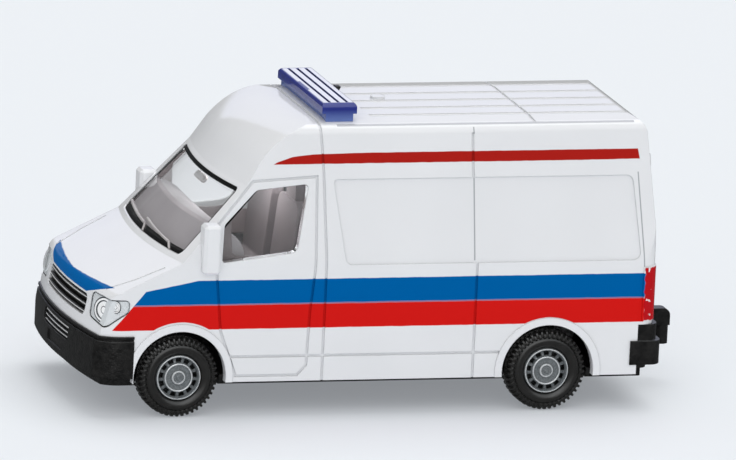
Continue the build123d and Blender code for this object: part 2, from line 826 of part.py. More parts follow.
save(make_body_shell(), "body_shell")
save(make_cab_glazing(), "cab_glazing")
save(make_cab_interior(), "cab_interior")
save(make_radiator_grille(), "radiator_grille")
save(make_headlamp(-1), "headlamp_left")
save(make_headlamp(1), "headlamp_right")
save(make_light_bar(), "light_bar")
save(make_chassis_base(), "chassis_base")
save(make_front_bumper(), "front_bumper")
save(make_rear_bumper(), "rear_bumper")
save(make_tow_hook(), "tow_hook")
save(make_rivet(at(front_post_x)), "front_rivet")
save(make_rivet(tail_x - rear_post_gap), "rear_rivet")
for place, axle_x in (("front", front_axle_x), ("rear", rear_axle_x)):
    save(make_axle(axle_x), f"{place}_axle")
    for hand, side in (("left", -1), ("right", 1)):
        save(make_hub(axle_x, side), f"{place}_{hand}_hub")
        save(make_tyre(axle_x, side), f"{place}_{hand}_tyre")
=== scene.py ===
import json
import math

import bmesh
import bpy
from mathutils import Matrix, Vector
from mathutils.bvhtree import BVHTree


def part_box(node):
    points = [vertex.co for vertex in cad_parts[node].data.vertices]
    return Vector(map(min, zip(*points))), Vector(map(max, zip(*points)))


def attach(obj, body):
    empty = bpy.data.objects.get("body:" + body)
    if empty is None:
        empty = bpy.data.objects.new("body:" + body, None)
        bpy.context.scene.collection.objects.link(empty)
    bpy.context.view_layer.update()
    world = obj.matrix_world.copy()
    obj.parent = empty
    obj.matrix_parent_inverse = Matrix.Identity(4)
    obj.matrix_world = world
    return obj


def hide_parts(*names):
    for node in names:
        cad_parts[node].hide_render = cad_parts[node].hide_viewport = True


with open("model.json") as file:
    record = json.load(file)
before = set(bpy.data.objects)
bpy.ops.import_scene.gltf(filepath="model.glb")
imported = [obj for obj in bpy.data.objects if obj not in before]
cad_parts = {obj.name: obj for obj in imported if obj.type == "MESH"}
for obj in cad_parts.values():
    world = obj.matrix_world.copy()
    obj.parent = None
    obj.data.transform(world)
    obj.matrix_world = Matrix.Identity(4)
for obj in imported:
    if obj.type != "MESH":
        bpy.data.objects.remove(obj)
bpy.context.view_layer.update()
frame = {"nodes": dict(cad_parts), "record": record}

# A pocket-size die-cast toy van ambulance. Lengths are in millimetres up to the point where a mesh or a
# lamp is made, and are then taken to metres with MM. A station u is measured back from the front axle.
MM = 0.001


def middle(node):
    low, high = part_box(node)
    return (low + high) / 2 / MM


FRONT_AXLE = middle("front_axle")
REAR_AXLE = middle("rear_axle")
AXLE_Z = FRONT_AXLE.z
WHEELBASE = REAR_AXLE.x - FRONT_AXLE.x
TYRE_RADIUS = (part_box("front_left_tyre")[1].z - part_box("front_left_tyre")[0].z) / 2 / MM
TYRE_WIDTH = (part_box("front_left_tyre")[1].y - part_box("front_left_tyre")[0].y) / MM
TYRE_FACE = -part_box("front_left_tyre")[0].y / MM
ROOF_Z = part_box("body_shell")[1].z / MM
TAIL_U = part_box("body_shell")[1].x / MM - FRONT_AXLE.x
BAR_LOW, BAR_HIGH = (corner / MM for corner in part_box("light_bar"))

# Camera: a long lens from the left front, a little above
CAMERA_AZIMUTH = -16.28
CAMERA_ELEVATION = 12.85
CAMERA_ROLL = 2.75
CAMERA_LENS = 800.0
CAMERA_SENSOR = 36.0
CAMERA_DISTANCE = 2152.0
CAMERA_AIM = Vector((0.12, 0.0, 20.86))
CAMERA_NEAR = 0.01             # metres
CAMERA_FAR = 50.0

# Colours, as sRGB
WHITE = "#e7e8ea"
WHITE_DULL = "#e1e2e4"
BLUE = "#005c9f"
RED = "#cf1b18"
UPPER_RED = "#a8201a"
LAMP_RED = "#b80f18"
LAMP_RED_CHIP = "#eee6e6"
PALE_LINE = "#8a5c84"
SEAM_SHADE = "#bcbec2"
# painted shade of seam grooves
GROOVE_SHADE_GREY = "#a4a6aa"
SILVER_FOIL = "#e6e6e6"
BAR_BLUE = "#2b368c"
BAR_BLUE_PALE = "#6d84c6"
# painted shade in the light bar's grooves
BAR_GROOVE_SHADE = "#0d0f2c"
BAR_PRINT = "#e9ebf6"
TYRE_BLACK = "#191918"
TYRE_DUST = "#2c2b2a"
PLASTIC_BLACK = "#080808"
# painted highlight: paler specks where pits catch the light
PLASTIC_SPECK_HIGHLIGHT = "#242322"
# windscreen border: print, and painted shade of the gap between glass and body
SCREEN_INK_AND_GAP_SHADE = "#0b0b0b"
HUB_GREY = "#73787b"
HUB_PALE = "#93989a"
# painted shade in the hub vents
HUB_VENT_SHADE = "#101112"
# painted highlight on the hubs' raised rings
RING_HIGHLIGHT_GREY = "#c9cdcf"
RING_HIGHLIGHT_PALE = "#eceeef"
CABIN_GREY = "#827a7c"
CABIN_DARK = "#6e6769"
DASH_GREY = "#a9a4a7"
DASH_DARK = "#999497"
LINING_GREY = "#8a8081"
LINING_DARK = "#786f70"
# painted highlight of the clear wipers and mirror
PALE_HIGHLIGHT_GREY = "#d6d2d0"
CLEAR = "#ffffff"
CLEAR_SHADOW = "#fafbfb"
FOIL_CORE = "#dcdfe1"
FOIL_BOWL = "#ffffff"
# painted shade on the reflector bowls' sloping steps
FOIL_RING_SHADE = "#565a5d"
# painted shade in the foil's grooves
FOIL_GROOVE_SHADE = "#6a6d70"
STEEL = "#b9b7b2"
STAGE = "#ecf0f3"
STAGE_FILM = "#c6c9cc"
TABLE_TINT = "#e8edf4"
WALL_TINT = "#e3e8ff"
SKY_WHITE = "#ffffff"

# Printed stripes. Each is the room inside flat limits (a, b, c, d): a*u + b*|y| + c*z > d
SLANT = 4.22 / 5.1             # run over rise of the stripes' front ends
SLANT_AT = (-4.98, 17.0)       # their upper corner: u, z
STRIPE_END = TAIL_U - 2.0
BLUE_FOOT = 15.16
RED_HEAD = 15.02               # a pale line shows between the two stripes
SIDE_ONLY = (0, 1, 0, 12.0)
FRONT_END = (1, 0, -SLANT, SLANT_AT[0] - SLANT * SLANT_AT[1])
BLUE_TOP_SLOPE = 1.35 / 7.04
BLUE_SIDE = [
    SIDE_ONLY, FRONT_END,
    (0, 0, 1, BLUE_FOOT), (0, 0, -1, -18.35),
    (BLUE_TOP_SLOPE, 0, -1, SLANT_AT[0] * BLUE_TOP_SLOPE - SLANT_AT[1]),
    (-1, 0, 0, -STRIPE_END),
]
RED_SIDE = [SIDE_ONLY, FRONT_END, (0, 0, 1, 11.8), (0, 0, -1, -RED_HEAD), (-1, 0, 0, -STRIPE_END)]
PALE_SIDE = [SIDE_ONLY, FRONT_END, (0, 0, 1, RED_HEAD), (0, 0, -1, -BLUE_FOOT), (-1, 0, 0, -STRIPE_END)]
FRONT_ARCH_PRINT = 7.45        # radius at which the red stripe ends round each arch
REAR_ARCH_PRINT = 7.25
UPPER_TIP = (11.6, 32.75)      # the upper stripe's front end is a curve, drawn with four slanting limits
UPPER_SIDE = [
    SIDE_ONLY,
    (0.6, 0, -1, 0.6 * UPPER_TIP[0] - UPPER_TIP[1]),
    (0.32, 0, -1, 0.32 * 13.0 - 33.5),
    (0.1, 0, -1, 0.1 * 15.1 - 34.1),
    (0.02, 0, -1, 0.02 * 18.1 - 34.35),
    (0, 0, -1, -34.48),
    (-0.0085, 0, 1, UPPER_TIP[1] - 0.0085 * UPPER_TIP[0]),
    (0, 0, 1, 33.12),
    (-1, 0, -0.2, -62.07 - 0.2 * 33.12),
]
BONNET = [
    (0, 0, 1, 15.34), (0, -0.296, 1, 12.83), (0, 0.025, -1, -16.62), (-1, 0, 0, 8.5),
]
TAIL_LAMP = [
    (1, 0, 0, TAIL_U - 2.08), (0, 1, 0, 14.62), (0, 0, 1, 11.95), (0, 0, -1, -19.12),
]
PRINT_EDGE = 0.035             # half the blur of a printed edge
PRINT_WAVER = (0.05, 1.6)      # how far a printed edge wanders, and over what length
LAMP_EDGE = 0.06               # half the blur of the rear lamps' brushed edge
LAMP_WAVER = (0.22, 0.7)       # the rear lamps' brushed paint wanders more
LAMP_CHIP_SIZE = 0.9
LOOKS_INWARD = (-4.0, -2.0)    # normal times place is below zero on inner faces, which have no print
ENAMEL_GLOSS = 0.5             # specular levels
PRINT_GLOSS = 0.03

# Patterns of the finishes. A skin's bumps are given as (size, height).
WHITE_PATCH_SIZE = 9.0
SEAM_REACH = 0.3
SEAMS_BELOW = 37.6             # the roof's ribs above this height cast shade enough
ENAMEL_PEEL = (0.9, 0.012)
POLYPROPYLENE_PATCH_SIZE = 0.9
POLYPROPYLENE_PITS = (0.3, 0.08)
ABS_CLOUD_SIZE = 5.0
ABS_SKIN = (0.35, 0.03)
FLAKE_SIZE = 0.12
HUB_SKIN = (0.4, 0.02)
HUB_VENT_REACH = 0.7
PVC_DUST_SIZE = 1.2
PVC_SKIN = (0.25, 0.02)
DRAWING_MARK_SIZE = 0.1
DRAWING_STRETCH = 0.05         # scale along the axle, so that the marks are 20 times as long as wide
POLYSTYRENE_SKIN = (1.2, 0.03)
BAR_GROOVE_REACH = 0.5
FOIL_SKIN = (0.5, 0.04)
FOIL_GROOVE_REACH = 0.35
FILM_TOOTH = (2.0, 0.02)

# Thin grey lines painted in the enamel as the shade of the pressed seams, where these carry on over the
# blank window and along the roof's edge
MID_SEAM = [(1, 0, 0, 39.36), (-1, 0, 0, -39.54)]
TAIL_SEAM = [(1, 0, 0.07, 63.92), (-1, 0, -0.07, -64.08)]
GUTTER = [(0, 1, 0, 12.0), (0, -1, 0, -12.42), (0, 0, 1, 37.3)]
PAINTED_GROOVE_SHADE_LINES = [
    [SIDE_ONLY, *MID_SEAM, (0, 0, 1, 20.4), (0, 0, -1, -31.0)],
    [SIDE_ONLY, *TAIL_SEAM, (0, 0, 1, 19.2), (0, 0, -1, -31.5)],
    [(0, 1, 0, 12.2), *MID_SEAM, (0, 0, 1, 36.7), (0, 0, -1, -37.5)],
    [*GUTTER, (1, 0, 0, 21.0), (-1, 0, 0, -61.5)],
]

# The windscreen's black border, partly print and partly painted shade of the gap between glass and body;
# and the grille and intake slats with foil on them
ON_SCREEN = (-1, 0, 0.947, 18.23)
SCREEN_FOOT_BORDER = [(0, 0, -1, -21.62), ON_SCREEN]
SCREEN_HEAD_BORDER = [(0, 0, 1, 29.45), ON_SCREEN]
SCREEN_SIDE_BORDER = [(0, 1, 0.1264, 16.6), ON_SCREEN]
GRILLE_SLATS = (12.3, 15.1, 3)         # foot, head, count
INTAKE_SLATS = (8.1, 10.0, 3)
FOIL_WIDTH = 0.15
FOIL_BACK = -8.8               # the station where the foil ends
INTAKE_HALF_WIDTH = 5.9

# The light bar's print
BAR_STRIPES = 4
BAR_STRIPE_MARGIN = 0.2
BAR_STRIPE_END = 0.7           # in from the bar's ends
BAR_PRINT_DEPTH = 0.03         # how far below its top a face still takes print
BAR_NOTCH = (0.62, 2.5)        # in from the front edge, and half its length, in the front stripe
BAR_PALE_BAND = (ROOF_Z - 0.4, ROOF_Z + 1.0)


def linear(code):
    """An sRGB hex colour as linear red, green, blue and alpha."""
    parts = [int(code[i:i + 2], 16) / 255 for i in (1, 3, 5)]
    return [c / 12.92 if c <= 0.04045 else ((c + 0.055) / 1.055) ** 2.4 for c in parts] + [1.0]


def add(tree, kind, inputs=None, **settings):
    """One node, with its settings. An input is a value, a hex colour, or a link from a node or its socket."""
    made = tree.nodes.new(kind)
    for name, value in settings.items():
        setattr(made, name, value)
    for key, value in (inputs or {}).items():
        if isinstance(value, bpy.types.Node):
            value = next(socket for socket in value.outputs if socket.enabled)
        if isinstance(value, bpy.types.NodeSocket):
            tree.links.new(value, made.inputs[key])
        else:
            made.inputs[key].default_value = linear(value) if isinstance(value, str) else value
    return made


def new_material(name):
    material = bpy.data.materials.new(name)
    material.use_nodes = True
    material.node_tree.nodes.clear()
    return material, material.node_tree


def toy_place(tree):
    """The surface's place as (station, distance from the middle plane, height), in millimetres."""
    spot = add(tree, "ShaderNodeTexCoord").outputs["Object"]
    scaled = add(tree, "ShaderNodeVectorMath", {0: spot, "Scale": 1 / MM}, operation="SCALE")
    moved = add(tree, "ShaderNodeVectorMath", {0: scaled, 1: (-FRONT_AXLE.x, 0, 0)}, operation="ADD")
    parts = add(tree, "ShaderNodeSeparateXYZ", {0: moved}).outputs
    out = add(tree, "ShaderNodeMath", {0: parts["Y"]}, operation="ABSOLUTE")
    return add(tree, "ShaderNodeCombineXYZ", {"X": parts["X"], "Y": out, "Z": parts["Z"]})


def wavering(tree, place, amount, size):
    """The place, moved a little by noise, so that a printed edge isn't ruler-straight."""
    noise = add(tree, "ShaderNodeTexNoise", {"Vector": place, "Scale": 1 / size, "Detail": 2.0})
    centred = add(tree, "ShaderNodeVectorMath", {
        0: noise.outputs["Color"], 1: (-0.5, -0.5, -0.5)}, operation="ADD")
    small = add(tree, "ShaderNodeVectorMath", {0: centred, "Scale": 2 * amount}, operation="SCALE")
    return add(tree, "ShaderNodeVectorMath", {0: place, 1: small}, operation="ADD")


def joined(tree, operation, masks):
    """Masks taken together: MULTIPLY for where all are, MAXIMUM for where any is."""
    whole = masks[0]
    for mask in masks[1:]:
        whole = add(tree, "ShaderNodeMath", {0: whole, 1: mask}, operation=operation)
    return whole


def inside(tree, place, limits, blur=PRINT_EDGE):
    """1 inside all the flat limits, and 0 outside."""
    steps = []
    for a, b, c, d in limits:
        along = add(tree, "ShaderNodeVectorMath", {0: place, 1: (a, b, c)}, operation="DOT_PRODUCT")
        steps.append(add(tree, "ShaderNodeMapRange", {
            "Value": along, "From Min": d - blur, "From Max": d + blur}))
    return joined(tree, "MULTIPLY", steps)


def outside_round(tree, place, u, z, radius):
    """1 outside a round bar across the toy, and 0 inside."""
    flat = add(tree, "ShaderNodeVectorMath", {0: place, 1: (1, 0, 1)}, operation="MULTIPLY")
    gap = add(tree, "ShaderNodeVectorMath", {0: flat, 1: (u, 0, z)}, operation="DISTANCE")
    return add(tree, "ShaderNodeMapRange", {
        "Value": gap, "From Min": radius - PRINT_EDGE, "From Max": radius + PRINT_EDGE})


def open_air(tree, reach, low, high):
    """1 on open surfaces, and 0 in grooves and corners narrower than the reach."""
    shade = add(tree, "ShaderNodeAmbientOcclusion", {"Distance": reach * MM}, samples=6, only_local=True)
    return add(tree, "ShaderNodeMapRange", {"Value": shade.outputs["AO"], "From Min": low, "From Max": high})


def bumpy_skin(tree, size, height, strength, edge=None, detail=2.0):
    """Bumps of about this size and height, with sharp edges rounded to a radius, as a casting or moulding has
    them. All are in millimetres."""
    spot = add(tree, "ShaderNodeTexCoord").outputs["Object"]
    noise = add(tree, "ShaderNodeTexNoise", {"Vector": spot, "Scale": 1 / (size * MM), "Detail": detail})
    bump = {"Height": noise, "Distance": height * MM, "Strength": strength}
    if edge:
        bump["Normal"] = add(tree, "ShaderNodeBevel", {"Radius": edge * MM}, samples=6)
    return add(tree, "ShaderNodeBump", bump)


def gloss_enamel():
    """White stoving enamel on cast zinc, with tampo-printed stripes: a smooth wet gloss with faint orange
    peel, painted shade that darkens the panel seams and grooves below the roof, and duller print whose edges
    wander a hair. The rear lamps are brushed on in red, and the enamel shows through in specks."""
    material, tree = new_material("gloss_enamel")
    place = toy_place(tree)
    printed = wavering(tree, place, *PRINT_WAVER)
    facing = add(tree, "ShaderNodeNewGeometry").outputs
    outward = add(tree, "ShaderNodeVectorMath", {
        0: facing["Normal"], 1: facing["Position"]}, operation="MULTIPLY")
    across = add(tree, "ShaderNodeSeparateXYZ", {0: outward}).outputs
    inner, outer = (limit * MM for limit in LOOKS_INWARD)
    on_side = add(tree, "ShaderNodeMapRange", {"Value": across["Y"], "From Min": inner, "From Max": outer})
    on_front = add(tree, "ShaderNodeMapRange", {"Value": across["X"], "From Min": inner, "From Max": outer})
    tone = add(tree, "ShaderNodeTexNoise", {"Vector": place, "Scale": 1 / WHITE_PATCH_SIZE, "Detail": 1.0})
    colour = add(tree, "ShaderNodeMix", {0: tone, 6: WHITE_DULL, 7: WHITE}, data_type="RGBA")
    # Painted shade: thin grey lines stand for the shade in the seams
    for limits in PAINTED_GROOVE_SHADE_LINES:
        line = inside(tree, place, limits)
        colour = add(tree, "ShaderNodeMix", {0: line, 6: colour, 7: GROOVE_SHADE_GREY}, data_type="RGBA")
    clear_of_arches = joined(tree, "MULTIPLY", [
        outside_round(tree, printed, 0, AXLE_Z, FRONT_ARCH_PRINT),
        outside_round(tree, printed, WHEELBASE, AXLE_Z, REAR_ARCH_PRINT)])
    prints = [
        ([inside(tree, printed, BLUE_SIDE), on_side], BLUE),
        ([inside(tree, printed, RED_SIDE), clear_of_arches, on_side], RED),
        ([inside(tree, printed, PALE_SIDE), on_side], PALE_LINE),
        ([inside(tree, printed, UPPER_SIDE), on_side], UPPER_RED),
        ([inside(tree, printed, BONNET), on_front], BLUE),
    ]
    masks = [joined(tree, "MULTIPLY", parts) for parts, _ in prints]
    for mask, (_, ink) in zip(masks, prints):
        colour = add(tree, "ShaderNodeMix", {0: mask, 6: colour, 7: ink}, data_type="RGBA")
    gloss = add(tree, "ShaderNodeMapRange", {
        "Value": joined(tree, "MAXIMUM", masks), "To Min": ENAMEL_GLOSS, "To Max": PRINT_GLOSS})
    # Painted shade: grooves and corners that the occlusion finds are darkened, below the roof's height
    grooves = add(tree, "ShaderNodeMath", {
        0: 1.0, 1: open_air(tree, SEAM_REACH, 0.15, 0.6)}, operation="SUBTRACT")
    seams = joined(tree, "MULTIPLY", [grooves, inside(tree, place, [(0, 0, -1, -SEAMS_BELOW)])])
    colour = add(tree, "ShaderNodeMix", {
        0: seams, 6: colour, 7: SEAM_SHADE}, data_type="RGBA", blend_type="MULTIPLY")
    chips = add(tree, "ShaderNodeTexNoise", {"Vector": place, "Scale": 1 / LAMP_CHIP_SIZE, "Detail": 3.0})
    chipped = add(tree, "ShaderNodeMapRange", {"Value": chips, "From Min": 0.64, "From Max": 0.68})
    lamp_paint = add(tree, "ShaderNodeMix", {0: chipped, 6: LAMP_RED, 7: LAMP_RED_CHIP}, data_type="RGBA")
    lamp = inside(tree, wavering(tree, place, *LAMP_WAVER), TAIL_LAMP, LAMP_EDGE)
    colour = add(tree, "ShaderNodeMix", {0: lamp, 6: colour, 7: lamp_paint}, data_type="RGBA")
    enamel = add(tree, "ShaderNodeBsdfPrincipled", {
        "Base Color": colour, "Roughness": 0.07, "IOR": 1.5, "Specular IOR Level": gloss,
        "Normal": bumpy_skin(tree, *ENAMEL_PEEL, 0.6, 0.16)})
    add(tree, "ShaderNodeOutputMaterial", {"Surface": enamel})
    return material


def crystal_polystyrene(name, roughness, prints=()):
    """Crystal polystyrene, injection-moulded: water-clear with a hard gloss, and light passes it into what
    lies behind. The windscreen's black border is drawn on it, partly as print and partly as painted shade of
    the gap between glass and body."""
    material, tree = new_material(name)
    pane = add(tree, "ShaderNodeBsdfPrincipled", {
        "Base Color": CLEAR, "Roughness": roughness, "IOR": 1.45, "Transmission Weight": 1.0})
    passing = add(tree, "ShaderNodeBsdfTransparent", {"Color": CLEAR_SHADOW})
    rays = add(tree, "ShaderNodeLightPath").outputs
    unseen = joined(tree, "MAXIMUM", [rays["Is Shadow Ray"], rays["Is Diffuse Ray"]])
    glass = add(tree, "ShaderNodeMixShader", {0: unseen, 1: pane, 2: passing})
    if prints:
        place = toy_place(tree)
        border = joined(tree, "MAXIMUM", [inside(tree, place, limits) for limits in prints])
        # Black border: print, and painted shade of the gap between glass and body
        ink = add(tree, "ShaderNodeBsdfPrincipled", {
            "Base Color": SCREEN_INK_AND_GAP_SHADE, "Roughness": 0.3, "Specular IOR Level": 0.1})
        glass = add(tree, "ShaderNodeMixShader", {0: border, 1: glass, 2: ink})
    add(tree, "ShaderNodeOutputMaterial", {"Surface": glass})
    return material


def black_polypropylene(name="black_polypropylene", slats=None, half_width=20.0):
    """Black polypropylene moulded in a spark-eroded tool: a satin skin with fine pits, and paler specks
    painted on as highlights where the pits catch the light. The grain is really about 0.1 mm and is drawn at
    0.3 mm so that it shows. Slats, where there are some, carry hot-stamped silver foil."""
    material, tree = new_material(name)
    place = toy_place(tree)
    mottle = add(tree, "ShaderNodeTexNoise", {
        "Vector": place, "Scale": 1 / POLYPROPYLENE_PATCH_SIZE, "Detail": 4.0})
    # Painted highlight: paler specks where the pits would catch the light
    speck_highlight = add(tree, "ShaderNodeMapRange", {"Value": mottle, "From Min": 0.3, "From Max": 0.75})
    colour = add(tree, "ShaderNodeMix", {0: speck_highlight, 6: PLASTIC_BLACK, 7: PLASTIC_SPECK_HIGHLIGHT}, data_type="RGBA")
    skin = bumpy_skin(tree, *POLYPROPYLENE_PITS, 0.9, 0.2, 3.0)
    plastic = add(tree, "ShaderNodeBsdfPrincipled", {
        "Base Color": colour, "Roughness": 0.32, "IOR": 1.49, "Normal": skin})
    if slats:
        foot, head, count = slats
        rows = [foot + (i + 0.5) * (head - foot) / count for i in range(count)]
        stamped = joined(tree, "MAXIMUM", [inside(tree, place, [
            (0, 0, 1, z - FOIL_WIDTH / 2), (0, 0, -1, -z - FOIL_WIDTH / 2),
            (0, -1, 0, -half_width), (-1, 0, 0, -FOIL_BACK)]) for z in rows])
        foil = add(tree, "ShaderNodeBsdfPrincipled", {
            "Base Color": SILVER_FOIL, "Metallic": 0.3, "Roughness": 0.3, "Normal": skin})
        plastic = add(tree, "ShaderNodeMixShader", {0: stamped, 1: plastic, 2: foil})
    add(tree, "ShaderNodeOutputMaterial", {"Surface": plastic})
    return material


def grey_abs(name, dark, light):
    """Grey ABS of the cab mouldings: a dull satin with the soft clouding of a matt-blasted tool."""
    material, tree = new_material(name)
    mottle = add(tree, "ShaderNodeTexNoise", {
        "Vector": toy_place(tree), "Scale": 1 / ABS_CLOUD_SIZE, "Detail": 2.0})
    colour = add(tree, "ShaderNodeMix", {0: mottle, 6: dark, 7: light}, data_type="RGBA")
    plastic = add(tree, "ShaderNodeBsdfPrincipled", {
        "Base Color": colour, "Roughness": 0.48, "IOR": 1.53,
        "Normal": bumpy_skin(tree, *ABS_SKIN, 0.7, 0.3)})
    add(tree, "ShaderNodeOutputMaterial", {"Surface": plastic})
    return material


def silver_abs(name, dull, bright):
    """ABS with aluminium flake moulded in, for the hubs: a grey metallic gleam, with painted shade in the
    vents.
    A paler copy of it is the painted highlight on the hubs' raised rings. The flake is finer than it is drawn
    here, at 0.12 mm."""
    material, tree = new_material(name)
    spot = add(tree, "ShaderNodeTexCoord").outputs["Object"]
    flake = add(tree, "ShaderNodeTexVoronoi", {"Vector": spot, "Scale": 1 / (FLAKE_SIZE * MM)})
    tone = add(tree, "ShaderNodeSeparateColor", {0: flake.outputs["Color"]})
    flakes = add(tree, "ShaderNodeMix", {0: tone, 6: dull, 7: bright}, data_type="RGBA")
    # Painted shade: the vents, as the occlusion finds them, are darkened
    open_face = open_air(tree, HUB_VENT_REACH, 0.2, 0.85)
    colour = add(tree, "ShaderNodeMix", {0: open_face, 6: HUB_VENT_SHADE, 7: flakes}, data_type="RGBA")
    plastic = add(tree, "ShaderNodeBsdfPrincipled", {
        "Base Color": colour, "Roughness": 0.3, "Metallic": 0.4,
        "Normal": bumpy_skin(tree, *HUB_SKIN, 0.5, 0.06)})
    add(tree, "ShaderNodeOutputMaterial", {"Surface": plastic})
    return material


def tyre_pvc():
    """Soft black PVC of the tyres: a dull satin, with a dusty bloom in patches."""
    material, tree = new_material("tyre_pvc")
    dust = add(tree, "ShaderNodeTexNoise", {
        "Vector": toy_place(tree), "Scale": 1 / PVC_DUST_SIZE, "Detail": 4.0})
    colour = add(tree, "ShaderNodeMix", {0: dust, 6: TYRE_BLACK, 7: TYRE_DUST}, data_type="RGBA")
    plastic = add(tree, "ShaderNodeBsdfPrincipled", {
        "Base Color": colour, "Roughness": 0.3, "IOR": 1.52,
        "Normal": bumpy_skin(tree, *PVC_SKIN, 0.5, 0.06, 3.0)})
    add(tree, "ShaderNodeOutputMaterial", {"Surface": plastic})
    return material


def drawn_steel():
    """Bright drawn wire and peened rivets: bare steel with fine lengthwise drawing marks. They are finer than
    they are drawn here, at 0.1 mm."""
    material, tree = new_material("drawn_steel")
    spot = add(tree, "ShaderNodeTexCoord").outputs["Object"]
    stretched = add(tree, "ShaderNodeMapping", {"Vector": spot, "Scale": (1, DRAWING_STRETCH, 1)})
    marks = add(tree, "ShaderNodeTexNoise", {
        "Vector": stretched, "Scale": 1 / (DRAWING_MARK_SIZE * MM), "Detail": 2.0})
    rough = add(tree, "ShaderNodeMapRange", {"Value": marks, "To Min": 0.22, "To Max": 0.42})
    steel = add(tree, "ShaderNodeBsdfPrincipled", {"Base Color": STEEL, "Metallic": 1.0, "Roughness": rough})
    add(tree, "ShaderNodeOutputMaterial", {"Surface": steel})
    return material


def tinted_polystyrene():
    """Blue-tinted polystyrene of the light bar: deep and glassy, paler at its foot, with painted shade
    darkening its grooves, and white print on the top faces between the grooves."""
    material, tree = new_material("tinted_polystyrene")
    place = toy_place(tree)
    height = add(tree, "ShaderNodeSeparateXYZ", {0: place}).outputs["Z"]
    low, high = BAR_PALE_BAND
    above_foot = add(tree, "ShaderNodeMapRange", {"Value": height, "From Min": low, "From Max": high})
    tint = add(tree, "ShaderNodeMix", {0: above_foot, 6: BAR_BLUE_PALE, 7: BAR_BLUE}, data_type="RGBA")
    # Painted shade: the bar's grooves, as the occlusion finds them, are darkened
    open_face = open_air(tree, BAR_GROOVE_REACH, 0.1, 0.6)
    colour = add(tree, "ShaderNodeMix", {0: open_face, 6: BAR_GROOVE_SHADE, 7: tint}, data_type="RGBA")
    body = add(tree, "ShaderNodeBsdfPrincipled", {
        "Base Color": colour, "Roughness": 0.12, "IOR": 1.59, "Transmission Weight": 0.18,
        "Normal": bumpy_skin(tree, *POLYSTYRENE_SKIN, 0.5, 0.1)})
    start = BAR_LOW.x - FRONT_AXLE.x
    pitch = (BAR_HIGH.x - BAR_LOW.x) / BAR_STRIPES
    stripes = joined(tree, "MAXIMUM", [inside(tree, place, [
        (1, 0, 0, start + i * pitch + BAR_STRIPE_MARGIN),
        (-1, 0, 0, -start - (i + 1) * pitch + BAR_STRIPE_MARGIN),
        (0, 0, 1, BAR_HIGH.z - BAR_PRINT_DEPTH),
        (0, -1, 0, -BAR_HIGH.y + BAR_STRIPE_END)]) for i in range(BAR_STRIPES)])
    notch = inside(tree, place, [(-1, 0, 0, -start - BAR_NOTCH[0]), (0, -1, 0, -BAR_NOTCH[1])])
    inked = add(tree, "ShaderNodeMath", {0: stripes, 1: notch}, operation="SUBTRACT", use_clamp=True)
    ink = add(tree, "ShaderNodeBsdfPrincipled", {"Base Color": BAR_PRINT, "Roughness": 0.35})
    printed = add(tree, "ShaderNodeMixShader", {0: inked, 1: body, 2: ink})
    add(tree, "ShaderNodeOutputMaterial", {"Surface": printed})
    return material


def foiled_reflector(name, tone):
    """Vacuum-metallised plastic behind the lamp lenses: a bright, pearly silver, a little uneven, with
    painted shade that darkens the rings' grooves."""
    material, tree = new_material(name)
    # Painted shade: grooves that the occlusion finds are darkened
    open_face = open_air(tree, FOIL_GROOVE_REACH, 0.15, 0.8)
    colour = add(tree, "ShaderNodeMix", {0: open_face, 6: FOIL_GROOVE_SHADE, 7: tone}, data_type="RGBA")
    foil = add(tree, "ShaderNodeBsdfPrincipled", {
        "Base Color": colour, "Metallic": 0.15, "Roughness": 0.22,
        "Normal": bumpy_skin(tree, *FOIL_SKIN, 0.8)})
    add(tree, "ShaderNodeOutputMaterial", {"Surface": foil})
    return material


def stage_paper():
    """Matt drafting film on a light table, with a faint tooth: it glows a little from below, which lifts the
    shadows and the sills. Glossy surfaces see it darker, as in a room where it's a small sheet."""
    material, tree = new_material("stage_paper")
    rays = add(tree, "ShaderNodeLightPath").outputs
    seen = joined(tree, "MAXIMUM", [rays["Is Camera Ray"], rays["Is Transmission Ray"]])
    glow = add(tree, "ShaderNodeMapRange", {"Value": seen, "To Min": TABLE_GLOW, "To Max": TABLE_GLOW_SEEN})
    paper = add(tree, "ShaderNodeBsdfPrincipled", {
        "Base Color": STAGE_FILM, "Roughness": 1.0, "Specular IOR Level": 0.0,
        "Emission Color": TABLE_TINT, "Emission Strength": glow,
        "Normal": bumpy_skin(tree, *FILM_TOOTH, 0.3)})
    dim = add(tree, "ShaderNodeEmission", {"Color": STAGE, "Strength": FLOOR_GLOW})
    mirrored = add(tree, "ShaderNodeMath", {
        0: rays["Is Glossy Ray"], 1: rays["Is Transmission Ray"]}, operation="SUBTRACT", use_clamp=True)
    film = add(tree, "ShaderNodeMixShader", {0: mirrored, 1: paper, 2: dim})
    add(tree, "ShaderNodeOutputMaterial", {"Surface": film})
    return material


def wheel_place(node):
    """The middle of a tyre or hub, and the side of the toy that it's on: -1 left, 1 right."""
    centre = middle(node)
    return centre, -1 if centre.y < 0 else 1


def put(name, data):
    """An object with this data, in the scene."""
    holder = bpy.data.objects.new(name, data)
    bpy.context.scene.collection.objects.link(holder)
    return holder


def make_piece(name, verts, faces, material, body, crease=40):
    """A mesh from points in millimetres, riding on a body, smooth up to the crease angle in degrees."""
    mesh = bpy.data.meshes.new(name)
    mesh.from_pydata([Vector(v) * MM for v in verts], [], faces)
    mesh.validate()
    mesh.polygons.foreach_set("use_smooth", [True] * len(mesh.polygons))
    mesh.set_sharp_from_angle(angle=math.radians(crease))
    mesh.materials.append(material)
    piece = put(name, mesh)
    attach(piece, body)
    return piece


